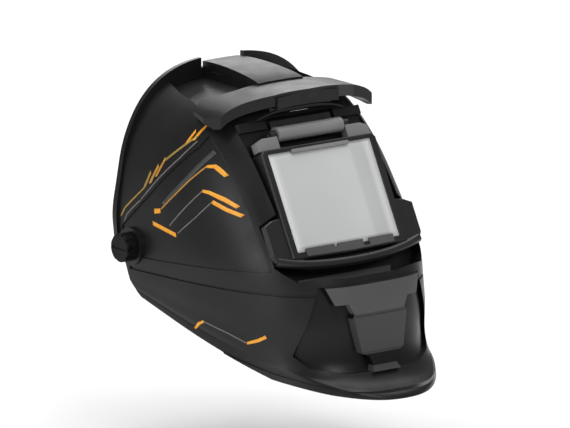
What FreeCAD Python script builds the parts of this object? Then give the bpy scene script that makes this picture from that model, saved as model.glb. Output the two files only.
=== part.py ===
"""Welding helmet: a thin moulded shell with a lift-up front, on an adjustable headgear.

Millimetres, +Z up. The wearer faces -Y, X = 0 is the plane of symmetry, and the origin is midway between
the two side pivots, inside the wearer's head. The shell is shown tipped up from the worn position.
The lift-up front is drawn in a frame of its own: origin on its hinge axis, y up along the window and
z out of it. place_front carries it into the helmet.
"""
import FreeCAD
import Part
import math
import os

from FreeCAD import Vector as V

os.makedirs("parts", exist_ok=True)

# ---------------------------------------------------------------- driving dimensions
WALL = 3.0                    # shell wall
HALF_WIDTH = 118.0            # outside of the shell near the pivots
FAN_Y, FAN_Z = 60.0, -20.0    # centre of the fan of arches that make the shell's skin
FAN_INNER = 42.0              # the arches stop this far from the fan's centre
ARCH_STEPS = 10               # points on each half of an arch

WINDOW_LEAN = 28.1            # window's lean from vertical
HINGE_Y, HINGE_Z = -104.4, 108.5
BARREL_R = 6.8
BARREL_HALF = 36.6
LUG_IN, LUG_OUT = 38.4, 63.0
KNUCKLE_IN, KNUCKLE_OUT, KNUCKLE_R = 37.2, 44.0, 4.4
FRAME_TOP = -14.2               # top of the bar over the lens
PIN_R = 1.6
PIN_BORE_R = 1.66

LENS_HALF = 57.8              # visible half width of the window
LENS_TOP, LENS_BOTTOM = -18.6, -111.0
FRAME_HALF = 64.5
FRAME_FRONT, FRAME_BACK = 9.4, -6.0
WING_HALF = 84.0
POCKET_FLOOR = -10.0
POCKET_BACK = -14.0
POCKET_WALL = 2.5

PIVOT_R = 4.0
PIVOT_BORE_R = 4.06
BOSS_R = 17.0
BOSS_IN, BOSS_OUT = 111.0, 119.4
BRACKET_IN = 80.0                      # side bracket's plate, on the outside of the headband
LIMIT_IN, LIMIT_OUT = 104.4, 108.4     # tilt limiter disc
KNOB_R = 13.0
KNOB_OUT = 131.4
KNOB_GAP = 1.2                         # the knob turns clear of the boss
TILT_DOWN, TILT_UP = 20.0, 60.0

BAND_HALF, BAND_FRONT = 78.0, 99.0     # inside of the headband
BAND_T = 2.0
BAND_LOW, BAND_HIGH = -15.0, 15.0
BAND_END = 46.0                        # the front band's straight sides end here
STRAP_HALF, STRAP_BACK = 77.4, 56.0    # outside of the rear strap, and how far its bow goes back
STRAP_T = 1.6
STRAP_BOW = 46.0                       # the rear strap's bow starts here

# profile of the shell's skin in the plane of symmetry, chin to nape of the crown: Y, Z, and the two
# exponents that set how square each arch is, across and along
PROFILE = [
    (-238.0, -120.0, 2.5, 2.2), (-231.0, -101.0, 2.55, 2.2), (-219.5, -93.0, 2.8, 2.3),
    (-213.0, -84.0, 2.9, 2.4), (-209.5, -72.0, 3.0, 2.4),
    (-207.5, -52.0, 3.1, 2.5), (-204.0, -22.0, 3.1, 2.55), (-195.0, 2.0, 3.4, 2.6),
    (-176.0, 28.0, 3.6, 2.7), (-150.0, 64.0, 3.6, 2.7), (-124.0, 98.0, 3.4, 2.8),
    (-98.0, 126.0, 3.0, 2.9), (-68.0, 142.0, 2.9, 3.0), (-35.0, 147.5, 2.85, 3.0),
    (-2.0, 149.0, 2.8, 3.0), (28.0, 147.0, 2.8, 3.0), (50.0, 145.0, 2.8, 3.0),
]

# side view of the shell's edge, from the crown's rear edge down to the knob and forward to the chin
REAR_EDGE = [(24.0, 170.0), (24.0, 24.0), (22.5, 6.0), (16.5, -8.0), (8.0, -17.0), (2.0, -31.0)]
LOWER_EDGE = [(-7.0, -40.0), (-18.0, -48.5), (-39.0, -60.0), (-60.0, -67.5), (-101.0, -80.5), (-138.0, -89.0),
              (-166.0, -95.5), (-190.0, -100.0), (-215.0, -105.0), (-260.0, -111.5)]

# ---------------------------------------------------------------- helpers


def box(x0, x1, y0, y1, z0, z1):
    return Part.makeBox(x1 - x0, y1 - y0, z1 - z0, V(x0, y0, z0))


def cyl_x(r, x0, x1, y=0.0, z=0.0):
    return Part.makeCylinder(r, x1 - x0, V(x0, y, z), V(1, 0, 0))


def cyl_y(r, y0, y1, x=0.0, z=0.0):
    return Part.makeCylinder(r, y1 - y0, V(x, y0, z), V(0, 1, 0))


def cyl_z(r, z0, z1, x=0.0, y=0.0):
    return Part.makeCylinder(r, z1 - z0, V(x, y, z0), V(0, 0, 1))


def face_of(points):
    return Part.Face(Part.makePolygon(points + [points[0]]))


def prism_x(points, x0, x1):
    """Side-view outline (Y, Z), from x0 to x1."""
    return face_of([V(x0, y, z) for y, z in points]).extrude(V(x1 - x0, 0, 0))


def prism_y(points, y0, y1):
    """Front-view outline (X, Z), from y0 to y1."""
    return face_of([V(x, y0, z) for x, z in points]).extrude(V(0, y1 - y0, 0))


def prism_z(points, z0, z1):
    """Plan outline (X, Y), from z0 to z1."""
    return face_of([V(x, y, z0) for x, y in points]).extrude(V(0, 0, z1 - z0))


def mirrored(points):
    """Closes a half outline, given from the middle outwards, with its mirror image."""
    return points + [(-x, y) for x, y in reversed(points) if abs(x) > 1e-9]


def round_edges(shape, radius, pick):
    """Fillets the edges that pick chooses, or leaves the shape alone if they can't be filleted."""
    edges = [e for e in shape.Edges if pick(e)]
    if not edges:
        return shape
    try:
        rounded = shape.makeFillet(radius, edges)
    except Exception:
        return shape
    if rounded.isValid() and rounded.Volume > 0:
        return rounded
    return shape


def along(axis):
    """Chooses straight edges that run along one axis."""
    def pick(edge):
        if len(edge.Vertexes) != 2:
            return False
        d = edge.Vertexes[1].Point - edge.Vertexes[0].Point
        return d.Length > 0.5 and abs(d.normalize().dot(axis)) > 0.999
    return pick


def join(shapes):
    whole = shapes[0].fuse(shapes[1:]) if len(shapes) > 1 else shapes[0]
    return whole.removeSplitter()


def both_sides(shape):
    return [shape, shape.mirror(V(0, 0, 0), V(1, 0, 0))]


def group(shapes):
    return Part.makeCompound(shapes)


FRONT_PLACE = FreeCAD.Placement(V(0, HINGE_Y, HINGE_Z), FreeCAD.Rotation(V(1, 0, 0), 90 - WINDOW_LEAN))


def place_front(shape):
    moved = shape.copy()
    moved.Placement = FRONT_PLACE.multiply(moved.Placement)
    return moved


NODES = {}


def add(name, shape):
    NODES[name] = shape


# ---------------------------------------------------------------- the shell's skin


def arch_point(row, j, half):
    y, z, p, q = row
    dy, dz = y - FAN_Y, z - FAN_Z
    reach = math.hypot(dy, dz)
    end = math.asin((1 - (FAN_INNER / reach) ** q) ** (1 / p))
    u = math.sin(abs(end * j / ARCH_STEPS))
    r = reach * (1 - u ** p) ** (1 / q)
    return V(math.copysign(half * u, j) if j else 0.0, FAN_Y + dy * r / reach, FAN_Z + dz * r / reach)


class Skin:
    """The smooth surface through the arches of a profile, and its offsets."""

    def __init__(self, profile, half=HALF_WIDTH):
        self.grid = [[arch_point(row, j, half) for j in range(-ARCH_STEPS, ARCH_STEPS + 1)] for row in profile]
        surface = Part.BSplineSurface()
        surface.interpolate(self.grid)
        self.normals = []
        for row in self.grid:
            line = []
            for point in row:
                n = surface.normal(*surface.parameter(point))
                line.append(n if n.dot(point - V(0, 40, -10)) > 0 else n * -1)
            self.normals.append(line)

    def offset(self, t):
        s = Part.BSplineSurface()
        s.interpolate([[p + n * t for p, n in zip(a, b)] for a, b in zip(self.grid, self.normals)])
        return s.toShape()

    def layer(self, inner, outer):
        """The solid between two offsets."""
        a, b = self.offset(inner), self.offset(outer)
        sides = [Part.makeRuledSurface(e, f) for e, f in zip(a.Edges, b.Edges)]
        closed = Part.makeShell([a, b] + sides)
        closed.sewShape()
        solid = Part.makeSolid(closed)
        if solid.Volume < 0:
            solid.reverse()
        return solid


skin = Skin(PROFILE)
# the same skin without the flared lip, which thick offsets need because the lip is hollow outside
PLAIN_PROFILE = [(-232.0, -128.0, 3.2, 2.6), (-222.0, -105.0, 3.2, 2.6), (-213.0, -78.0, 3.2, 2.5)] + PROFILE[5:]
plain_skin = Skin(PLAIN_PROFILE)


def offset_line(line, d):
    """Moves an open (Y, Z) line sideways by d, by averaging the normals of its spans."""
    out = []
    for i, (y, z) in enumerate(line):
        a = line[max(i - 1, 0)]
        b = line[min(i + 1, len(line) - 1)]
        length = math.hypot(b[0] - a[0], b[1] - a[1])
        out.append((y - d * (b[1] - a[1]) / length, z + d * (b[0] - a[0]) / length))
    return out


EDGE_LINE = REAR_EDGE + LOWER_EDGE
KEEP = prism_x(EDGE_LINE + [(-260.0, 170.0)], -200, 200)

shell = skin.layer(-WALL, 0.0).common(KEEP)


def raise_by(t, zone, depth=1.5):
    global shell
    shell = shell.fuse(skin.layer(-depth, t).common(zone))


def sink_by(t, zone):
    global shell
    shell = shell.cut(skin.layer(-t, 9.0).common(zone))


# chin: the wall is doubled inside so that the recess beside the centre plate keeps its thickness
CHIN_RECESS = mirrored([(0.0, -12.0), (56.0, -12.0), (62.0, -31.0), (75.0, -74.0), (66.0, -84.0), (40.0, -89.0),
                        (13.0, -89.0), (0.0, -89.0)])
shell = shell.fuse(skin.layer(-6.4, -1.5).common(prism_y(mirrored(
    [(0.0, -4.0), (64.0, -4.0), (70.0, -31.0), (82.0, -76.0), (70.0, -92.0), (0.0, -95.0)]), -230, -150)))

# side panel: everything in front of the diagonal crease is sunk a little
PANEL_SINK = 1.2
side_panel = prism_x([(13.0, 17.0), (-19.6, 49.6), (-36.4, 68.2), (-66.0, 99.1), (-72.0, 113.3), (-78.0, 124.0),
                      (-150.0, 124.0), (-190.0, 60.0), (-190.0, 2.0), (-145.0, -1.6), (-124.0, -2.6),
                      (-91.0, -4.6), (-37.0, -7.4), (6.0, -9.0), (13.0, 4.0)], -200, 200)
sink_by(PANEL_SINK, side_panel.cut(box(-84, 84, -240, -60, -20, 135)))

# groove all round above the chin part
sink_by(1.5, box(-200, 200, -240, 2, -21.0, -18.4))

# rear flange: a proud rim that is tallest at the top and stops short of the keel
FLANGE_TOP, FLANGE_SIDE, FLANGE_GAP, FLANGE_DEEP = 9.5, 1.6, 24.0, 5.5


def grown(row, t):
    y, z, p, q = row
    reach = math.hypot(y - FAN_Y, z - FAN_Z)
    return (y + t * (y - FAN_Y) / reach, z + t * (z - FAN_Z) / reach, p, q)


flange_skin = Skin([grown(row, FLANGE_TOP) for row in PLAIN_PROFILE], HALF_WIDTH + FLANGE_SIDE)
flange_zone = prism_x([(24.0, 175.0), (24.0, 24.0), (22.5, 6.0), (22.5 - FLANGE_DEEP, 6.0),
                       (24.0 - FLANGE_DEEP, 24.0), (24.0 - FLANGE_DEEP, 175.0)], -200, 200)
flange = flange_skin.layer(-12.0, 0.0).common(flange_zone.cut(box(-FLANGE_GAP, FLANGE_GAP, 0, 60, 100, 180)))
shell = shell.fuse(flange.cut(plain_skin.layer(-45.0, -1.5)))

# lower edge bead, growing into the flared lip at the chin
bead = prism_x(LOWER_EDGE[2:] + list(reversed(offset_line(LOWER_EDGE[2:], -5.0))), -200, 200)
raise_by(1.8, bead)
# chin recess and the stepped centre plate
CHIN_PLATE = mirrored([(0.0, -6.0), (54.7, -8.0), (46.0, -28.0), (33.0, -28.0), (28.0, -37.0), (30.5, -41.0),
                       (23.5, -72.5), (15.0, -76.0), (13.0, -84.0), (16.0, -91.0), (0.0, -91.0)])
sink_by(3.6, prism_y(CHIN_RECESS, -260, -150).cut(prism_y(CHIN_PLATE, -260, -150)))
raise_by(3.2, prism_y(CHIN_PLATE, -260, -150).common(prism_y(CHIN_RECESS, -260, -150)))
LOGO_PLATE = mirrored([(0.0, -40.0), (29.5, -40.0), (23.5, -71.5), (0.0, -71.5)])
raise_by(4.6, prism_y(LOGO_PLATE, -260, -150))

# brow visor: a slab that carries the crown forward over the window, with a lower block at its middle
vault = [(-92.0, 118.0), (-79.0, 133.0), (-61.0, 139.5), (-34.0, 144.8), (0.0, 146.4), (34.0, 144.8), (61.0, 139.5),
         (79.0, 133.0), (92.0, 118.0)]


def vault_slab(drop_top, drop_bottom, y0, y1):
    """The space under an arch from side to side, between two depths below it."""
    top = Part.BSplineCurve()
    top.interpolate([V(x, y0, z - drop_top) for x, z in vault])
    low = Part.BSplineCurve()
    low.interpolate([V(x, y0, z - drop_bottom) for x, z in reversed(vault)])
    ends = [Part.LineSegment(top.EndPoint, low.StartPoint), Part.LineSegment(low.EndPoint, top.StartPoint)]
    wire = Part.Wire([top.toShape(), ends[0].toShape(), low.toShape(), ends[1].toShape()])
    return Part.Face(wire).extrude(V(0, y1 - y0, 0))


BROW_PLAN = mirrored([(0.0, -107.0), (36.0, -103.5), (61.0, -94.0), (85.5, -89.0), (88.5, -68.0), (86.0, -50.0),
                      (70.0, -44.0), (0.0, -40.0)])
inner_hull = plain_skin.layer(-45.0, -WALL)
brow = vault_slab(0.0, 10.5, -112, -40).common(prism_z(BROW_PLAN, 90, 160)).cut(inner_hull)
# its underside rises towards the rear, so its ends taper into the shell
brow = brow.cut(prism_x([(-89.0, 80.0), (-89.0, 113.5), (-45.0, 126.0), (-38.0, 126.0), (-38.0, 80.0)], -100, 100))
brow_block = vault_slab(3.0, 17.0, -106, -88.5).common(box(-34.6, 34.6, -120, -80, 100, 160))
shell = shell.fuse(brow)
shell = shell.fuse(brow_block)
shell = shell.cut(vault_slab(13.5, 26.0, -112, -94.5).common(box(-66, 66, -130, -60, 90, 160)))

# crown: a raised keel, and each side of it a sunken panel whose floor and walls are set into the vault
KEEL_REAR, KEEL_FRONT, KEEL_RISE = 20.0, 25.0, 5.0
PANEL_DROP = 8.0
raise_by(KEEL_RISE, prism_z([(-KEEL_REAR, 22.0), (KEEL_REAR, 22.0), (KEEL_FRONT, -66.0), (-KEEL_FRONT, -66.0)],
                            100, 170))
for side in (1, -1):
    panel = [(20.5, 18.4), (61.0, 18.4), (69.5, -8.0), (75.0, -45.0), (66.0, -53.0), (46.0, -60.0), (25.5, -62.0)]
    walls = [(17.5, 22.0), (64.0, 22.0), (72.5, -8.0), (78.5, -47.0), (68.0, -56.5), (47.0, -63.5), (22.0, -65.5)]
    block = vault_slab(1.0, PANEL_DROP + WALL, -70, 24).common(prism_z([(side * x, y) for x, y in walls], 90, 170))
    shell = shell.fuse(block.common(plain_skin.layer(-45.0, -1.0)))
    shell = shell.cut(vault_slab(-40.0, PANEL_DROP, -70, 24).common(prism_z([(side * x, y) for x, y in panel],
                                                                           90, 200)))

# window pocket: a tray let into the front of the shell, in the front's own frame
POCKET = mirrored([(0.0, 16.0), (66.0, 16.0), (68.5, 8.0), (68.5, -73.0), (82.0, -79.0), (82.0, -119.6), (78.0, -127.0),
                   (70.0, -138.0), (0.0, -150.0)])
POCKET_OUTER = mirrored([(0.0, 18.5), (68.0, 18.5), (71.0, 10.0), (71.0, -71.0), (84.5, -77.0), (84.5, -120.5),
                         (80.0, -129.0), (72.0, -141.0), (0.0, -152.5)])


def front_prism(points, z0, z1):
    return place_front(face_of([V(x, y, z0) for x, y in points]).extrude(V(0, 0, z1 - z0)))


# the pocket's lower edge is a ledge that slopes down and in
LEDGE = [(-260.0, -3.5), (-206.0, -3.5), (-158.0, -19.0), (-100.0, -19.0), (-100.0, -200.0), (-260.0, -200.0)]
below_ledge = prism_x(LEDGE, -200, 200)
above_pocket = prism_x([(-94.0, 119.0), (-94.0, 200.0), (40.0, 200.0), (40.0, 119.0)], -200, 200)
pocket = front_prism(POCKET, POCKET_FLOOR, 90.0).cut(below_ledge)
pocket = pocket.cut(vault_slab(-20.0, 12.0, -140, -40))
tray = front_prism(POCKET_OUTER, POCKET_BACK, 40.0).cut(prism_x([(y, z - 3.0) for y, z in LEDGE], -200, 200))
tray = tray.cut(plain_skin.layer(-1.0, 60.0)).cut(vault_slab(-20.0, 3.0, -140, -40))
tray = tray.cut(pocket)
shell = shell.cut(pocket).fuse(tray)
STEP_IN, STEP_OUT, STEP_LOW, STEP_Z = 38.0, 68.2, 8.0, -6.0
for x0, x1 in ((STEP_IN, STEP_OUT), (-STEP_OUT, -STEP_IN)):
    shell = shell.fuse(place_front(box(x0, x1, STEP_LOW, 16.4, POCKET_FLOOR - 1.0, STEP_Z)))

# the view opening, with a rebate round it for the clear window
VIEW_HALF, VIEW_TOP, VIEW_LOW = 50.0, -26.0, -104.0
shell = shell.cut(place_front(box(-VIEW_HALF, VIEW_HALF, VIEW_LOW, VIEW_TOP, -40, 0)))
shell = shell.cut(place_front(box(-54.0, 54.0, -108.0, -22.0, POCKET_FLOOR - 2.4, 0)))

# pivot bosses, bores and the pegs that run in the tilt limiters
for x0, x1 in ((BOSS_IN, BOSS_OUT), (-BOSS_OUT, -BOSS_IN)):
    shell = shell.fuse(cyl_x(BOSS_R, x0, x1))
PEG_R, PEG_Z = 2.5, -13.0
for x0, x1 in ((LIMIT_IN + 0.6, BOSS_IN + 1.0), (-BOSS_IN - 1.0, -LIMIT_IN - 0.6)):
    shell = shell.fuse(cyl_x(PEG_R, x0, x1, 0.0, PEG_Z))
shell = shell.cut(cyl_x(PIVOT_BORE_R, -140, 140))
# screw bores for the hinge bracket's foot
SCREW_X, SCREW_Y = 24.0, 8.5
for s in (1, -1):
    shell = shell.cut(place_front(cyl_z(1.3, POCKET_BACK - 1, POCKET_FLOOR + 1, s * SCREW_X, SCREW_Y)))
add("shell", shell)

# ---------------------------------------------------------------- fixed pieces in the pocket
foot = box(-34.0, 34.0, 2.5, 14.0, POCKET_FLOOR, -5.5)
arms = [box(x - 5.0, x + 5.0, -3.0, 4.0, POCKET_FLOOR + 0.2, 0.0) for x in (-28.0, 0.0, 28.0)]
barrel = cyl_x(BARREL_R, -BARREL_HALF, BARREL_HALF)
bracket = join([foot, barrel] + arms)
bracket = bracket.cut(cyl_x(PIN_BORE_R, -80, 80))
for s in (1, -1):
    bracket = bracket.cut(cyl_z(1.66, -20, 10, s * SCREW_X, SCREW_Y))
    bracket = bracket.cut(cyl_z(3.1, -7.5, 0, s * SCREW_X, SCREW_Y))
bracket = round_edges(bracket, 0.8, along(V(0, 0, 1)))
add("hinge_bracket", place_front(bracket))

screws = []
for s in (1, -1):
    screw = cyl_z(1.6, POCKET_FLOOR, -7.5, s * SCREW_X, SCREW_Y).fuse(cyl_z(3.0, -7.5, -5.6, s * SCREW_X, SCREW_Y))
    screw = screw.fuse(cyl_z(1.3, POCKET_BACK, POCKET_FLOOR, s * SCREW_X, SCREW_Y))
    screws.append(screw.cut(box(s * SCREW_X - 2.2, s * SCREW_X + 2.2, SCREW_Y - 0.4, SCREW_Y + 0.4, -6.4, -5)))
add("hinge_screws", place_front(group(screws)))
add("hinge_pin", place_front(cyl_x(PIN_R, -KNUCKLE_OUT + 0.5, KNUCKLE_OUT - 0.5)))

WINDOW_T = 1.5
window = box(-53.7, 53.7, -107.7, -22.3, POCKET_FLOOR - 2.0, POCKET_FLOOR - 0.5)
add("grinding_window", place_front(round_edges(window, 2.0, along(V(0, 0, 1)))))
gasket = box(-53.7, 53.7, -107.7, -22.3, POCKET_FLOOR - 2.4, POCKET_FLOOR - 2.0)
gasket = gasket.cut(box(-50.5, 50.5, -104.5, -25.5, -20, 0))
add("window_gasket", place_front(gasket))
clips = []
for x in (-57.0, 57.0):
    for y in (-40.0, -90.0):
        inward = -1.0 if x > 0 else 1.0
        clip = box(min(x - 3, x + 3 * inward * 2), max(x + 3, x + 3 * inward * 2), y - 4, y + 4, POCKET_FLOOR,
                   POCKET_FLOOR + 0.8)
        clips.append(clip)
add("window_clips", place_front(group(clips)))

# ---------------------------------------------------------------- lift-up front



def slab(half, z0, z1):
    return face_of([V(x, y, z0) for x, y in mirrored(half)]).extrude(V(0, 0, z1 - z0))


core = slab([(0.0, FRAME_TOP), (61.0, FRAME_TOP), (FRAME_HALF, -18.0), (FRAME_HALF, -116.0), (58.0, -119.5),
             (0.0, -121.5)],
            FRAME_BACK, FRAME_FRONT - 1.2)
core = round_edges(core, 1.2, lambda e: abs(e.BoundBox.ZMin - (FRAME_FRONT - 1.2)) < 1e-4
                   and abs(e.BoundBox.ZMax - (FRAME_FRONT - 1.2)) < 1e-4)
wings = slab([(0.0, -108.0), (FRAME_HALF - 4, -108.0), (FRAME_HALF - 4, -76.0), (74.0, -77.5), (WING_HALF, -82.0),
              (WING_HALF, -110.0), (79.0, -119.0), (60.0, -123.5), (0.0, -125.0)], 1.4, 7.4)
wings = round_edges(wings, 1.8, lambda e: e.BoundBox.ZLength < 1e-4)

# the lip bar: sags a little in the window's plane and bulges out of it
LIP = [(-80.0, -114.5, 3.9), (-60.0, -120.4, 6.2), (-30.0, -124.8, 8.7), (0.0, -126.0, 9.6), (30.0, -124.8, 8.7),
       (60.0, -120.4, 6.2), (80.0, -114.5, 3.9)]
lip_path = Part.BSplineCurve()
lip_path.interpolate([V(*p) for p in LIP])
lip_edge = lip_path.toShape()
start = lip_edge.valueAt(lip_edge.FirstParameter)
across = lip_edge.tangentAt(lip_edge.FirstParameter)
profile = Part.Wire(Part.Circle(start, across, 4.3).toShape())
lip_bar = Part.Wire([lip_edge]).makePipeShell([profile], True, True)
rim_front = slab([(0.0, FRAME_TOP), (61.0, FRAME_TOP), (FRAME_HALF, -18.0), (FRAME_HALF, -116.0), (0.0, -118.0)],
                 FRAME_FRONT - 3.4, FRAME_FRONT)
rim_front = round_edges(rim_front, 1.4, lambda e: abs(e.BoundBox.ZMin - FRAME_FRONT) < 1e-4
                        and abs(e.BoundBox.ZMax - FRAME_FRONT) < 1e-4)
frame = join([core, wings, lip_bar, rim_front])
frame = frame.cut(box(-LENS_HALF, LENS_HALF, LENS_BOTTOM, LENS_TOP, -40, 40))
# pocket behind the lip that holds the lens, its gasket and the filter cartridge
frame = frame.cut(box(-60.2, 60.2, LENS_BOTTOM - 2.4, LENS_TOP + 2.4, -40, 7.9))
# the curved gap over the lip bar
frame = frame.cut(slab([(0.0, -122.0), (30.0, -120.9), (53.0, -117.6), (53.0, -116.8), (0.0, -117.4)], -2.5, 20))
# each lug stands on the bar over the lens, and its knuckle holds the hinge pin beside the barrel
LUG_SHAPE = [(LUG_IN, FRAME_TOP - 0.4), (LUG_IN, -2.2), (55.0, -2.2), (LUG_OUT, -5.6), (LUG_OUT, FRAME_TOP - 0.4)]
lugs = []
for s in (1, -1):
    lug = face_of([V(s * x, y, -3.6) for x, y in LUG_SHAPE]).extrude(V(0, 0, 8.2))
    x0, x1 = sorted((s * KNUCKLE_IN, s * KNUCKLE_OUT))
    lugs.append(join([round_edges(lug, 0.9, along(V(1, 0, 0))), cyl_x(KNUCKLE_R, x0, x1)]))
frame = join([frame] + lugs)
frame = frame.cut(cyl_x(PIN_BORE_R, -80, 80))
add("flip_frame", place_front(frame))

top_strip = box(-32.0, 32.0, LENS_TOP - 2.2, LENS_TOP + 1.0, FRAME_FRONT, FRAME_FRONT + 1.8)
add("frame_top_strip", place_front(round_edges(top_strip, 0.6, along(V(0, 0, 1)))))
# three tabs under the window, joined along their lower edge
tabs = slab([(0.0, -111.0), (49.0, -111.0), (49.0, -115.4), (0.0, -116.6)], FRAME_FRONT, FRAME_FRONT + 1.4)
for x0, x1 in ((-49.0, -17.0), (-13.0, 15.0), (22.0, 49.0)):
    tabs = tabs.fuse(box(x0, x1, -112.0, -108.4, FRAME_FRONT, FRAME_FRONT + 1.4))
tabs = tabs.cut(box(15.0, 22.0, -114.6, -100.0, 0, 20))
add("frame_bottom_strip", place_front(round_edges(tabs.removeSplitter(), 0.5, along(V(0, 0, 1)))))

lens = round_edges(box(-59.8, 59.8, LENS_BOTTOM - 2.0, LENS_TOP + 2.0, 6.1, 7.8), 3.0, along(V(0, 0, 1)))
# its middle stands up through the frame with a wide bevel
LENS_FACE = 9.0


def lens_outline(inset, z):
    x, y0, y1 = LENS_HALF - 0.6 - inset, LENS_BOTTOM + 0.6 + inset, LENS_TOP - 0.6 - inset
    return Part.makePolygon([V(-x, y0, z), V(x, y0, z), V(x, y1, z), V(-x, y1, z), V(-x, y0, z)])


dome = Part.makeLoft([lens_outline(0.0, 7.8), lens_outline(4.0, LENS_FACE)], True, True)
add("cover_lens", place_front(lens.fuse(dome).removeSplitter()))
seal = box(-59.8, 59.8, LENS_BOTTOM - 2.0, LENS_TOP + 2.0, 5.1, 6.1)
seal = seal.cut(box(-56.5, 56.5, LENS_BOTTOM + 1.5, LENS_TOP - 1.5, 0, 10))
add("lens_seal", place_front(seal))

# auto-darkening cartridge
CART_HALF, CART_TOP, CART_LOW = 55.0, -20.0, -110.0
CART_FRONT, CART_BACK = 4.9, -4.1
cart = box(-CART_HALF, CART_HALF, CART_LOW, CART_TOP, CART_BACK, CART_FRONT)
cart = round_edges(cart, 3.0, along(V(0, 0, 1)))
cavity = box(-CART_HALF + 1.6, CART_HALF - 1.6, CART_LOW + 1.6, CART_TOP - 1.6, CART_BACK + 1.4, CART_FRONT - 1.4)
VIEW_X, VIEW_Y0, VIEW_Y1 = 49.0, -88.0, -43.0
cart = cart.cut(cavity).cut(box(-VIEW_X, VIEW_X, VIEW_Y0, VIEW_Y1, -20, 20))
cart = cart.cut(box(-33.0, 33.0, -38.0, -26.0, 0, 20))
SENSOR_AT = [(-43.0, -27.5), (43.0, -27.5), (-43.0, -37.5), (43.0, -37.5)]
for x, y in SENSOR_AT:
    cart = cart.cut(cyl_z(3.06, 0, 20, x, y))
DIAL_AT = [(-30.0, -32.0), (30.0, -32.0)]
for x, y in DIAL_AT:
    cart = cart.cut(cyl_z(2.06, -20, 0, x, y))
cart = cart.cut(cyl_z(3.06, -20, 0, 0.0, -32.0))
CELL_X, CELL_Y, CELL_R = 43.5, -99.5, 8.0
for s in (1, -1):
    cart = cart.cut(box(s * CELL_X - 7.5, s * CELL_X + 7.5, CELL_Y - 7.5, CELL_Y + 7.5, -20, 0))
add("filter_housing", place_front(cart))
glass = box(-51.0, 51.0, VIEW_Y0 - 2.0, VIEW_Y1 + 2.0, -1.9, 1.9)
add("filter_glass", place_front(glass))
add("solar_cell", place_front(box(-34.0, 34.0, -39.0, -25.0, 2.1, 3.5)))
sensors = [cyl_z(3.0, 2.1, 4.9, x, y) for x, y in SENSOR_AT]
add("light_sensors", place_front(group(sensors)))
board = box(-52.0, 52.0, -41.0, -22.5, 0.5, 2.1)
add("circuit_board", place_front(board))
cells = [cyl_z(CELL_R, -2.5, 0.7, x, CELL_Y) for x in (CELL_X, -CELL_X)]
tub = [box(x - 8.6, x + 8.6, CELL_Y - 8.4, CELL_Y + 8.4, 0.8, 1.8) for x in (CELL_X, -CELL_X)]
add("batteries", place_front(group(cells)))
add("battery_board", place_front(group(tub)))
doors = [box(x - 7.3, x + 7.3, CELL_Y - 7.3, CELL_Y + 7.3, CART_BACK, CART_BACK + 1.3) for x in (CELL_X, -CELL_X)]
add("battery_doors", place_front(group(doors)))

retainer = box(-60.0, 60.0, LENS_BOTTOM - 2.2, LENS_TOP + 2.2, CART_BACK - 1.4, CART_BACK)
retainer = retainer.cut(box(-51.5, 51.5, -90.5, -41.5, -20, 20)).cut(box(-36.0, 36.0, -40.0, -24.0, -20, 20))
for s in (1, -1):
    retainer = retainer.cut(box(s * CELL_X - 7.6, s * CELL_X + 7.6, CELL_Y - 7.8, CELL_Y + 7.6, -20, 20))
posts = [box(x - 2.0, x + 2.0, y - 4.0, y + 4.0, CART_BACK, 5.0) for x in (-58.0, 58.0) for y in (-40.0, -90.0)]
add("cartridge_retainer", place_front(join([retainer] + posts)))
inner_lens = box(-51.3, 51.3, -90.3, -41.7, CART_BACK - 1.2, CART_BACK - 0.1)
add("inner_cover_lens", place_front(inner_lens))

for name, (x, y) in (("sensitivity_dial", DIAL_AT[0]), ("delay_dial", DIAL_AT[1])):
    dial = cyl_z(5.0, -7.4, CART_BACK - 0.1, x, y).fuse(cyl_z(2.0, -7.0, 0.4, x, y))
    for k in range(12):
        a = k * math.pi / 6
        dial = dial.cut(cyl_z(0.6, -8, -4.2, x + 5.1 * math.cos(a), y + 5.1 * math.sin(a)))
    add(name, place_front(dial.cut(box(x - 0.5, x + 0.5, y, y + 4.4, -8, -6.8))))
add("test_button", place_front(cyl_z(3.0, -7.2, -2.5, 0.0, -32.0).fuse(cyl_z(3.8, -2.65, -1.7, 0.0, -32.0))))

# ---------------------------------------------------------------- headgear


def oval_ring(ax, ay, t, y_cut, z0, z1, y_off=0.0):
    """Front half of an oval band, with straight sides back to y_cut. ax and ay are to its inside."""
    outer = Part.Ellipse(V(0, 0, z0), ay + t, ax + t) if ay > ax else Part.Ellipse(V(0, 0, z0), ax + t, ay + t)
    inner = Part.Ellipse(V(0, 0, z0), ay, ax) if ay > ax else Part.Ellipse(V(0, 0, z0), ax, ay)
    ring = Part.Face(Part.Wire(outer.toShape())).extrude(V(0, 0, z1 - z0))
    ring = ring.cut(Part.Face(Part.Wire(inner.toShape())).extrude(V(0, 0, z1 - z0)))
    if ay > ax:
        ring.rotate(V(0, 0, 0), V(0, 0, 1), 90)
    ring = ring.common(box(-200, 200, -200, 0, z0 - 1, z1 + 1))
    sides = [box(ax, ax + t, 0, y_cut, z0, z1), box(-ax - t, -ax, 0, y_cut, z0, z1)]
    return ring.fuse(sides).removeSplitter()


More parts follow.
